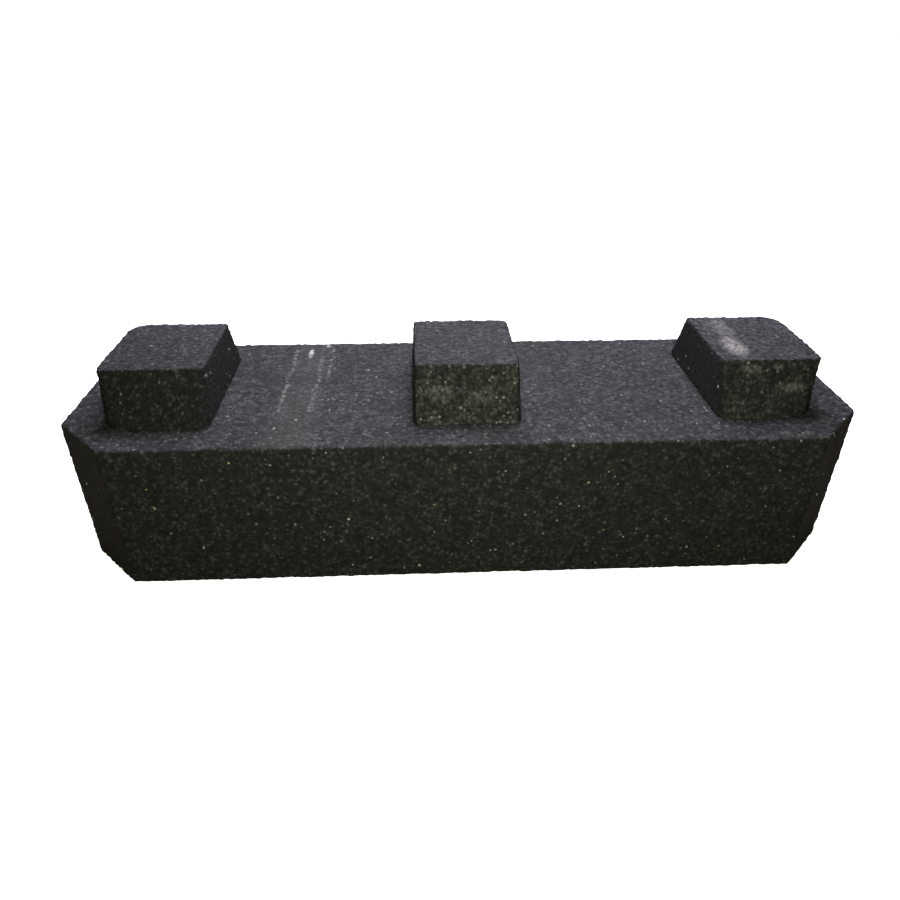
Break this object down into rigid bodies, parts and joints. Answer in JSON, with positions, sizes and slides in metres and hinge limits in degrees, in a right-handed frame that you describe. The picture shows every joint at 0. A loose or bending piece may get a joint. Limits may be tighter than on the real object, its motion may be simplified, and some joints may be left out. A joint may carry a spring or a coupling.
{
  "type": "backless bench",
  "caption": "Backless street bench of bonded black rubber crumb: a long block with 45-degree upright corner cuts and stub feet, resting on its seat face.",
  "frame": {"origin": "centre of the seat face, which is the underside here because the bench lies seat face down", "axes": "+X along the bench, +Y across it, +Z from the seat face towards the feet's end faces"},
  "size_m": [1.5, 0.45, 0.4],
  "materials": {
    "block_rubber": "matte",
    "foot_rubber": "matte",
    "adhesive": "satin"
  },
  "bodies": {
    "root": {"seat_block": "block_rubber", "left_foot": "foot_rubber", "centre_foot": "foot_rubber", "right_foot": "foot_rubber", "left_foot_adhesive": "adhesive", "centre_foot_adhesive": "adhesive", "right_foot_adhesive": "adhesive"}
  },
  "joints": []
}
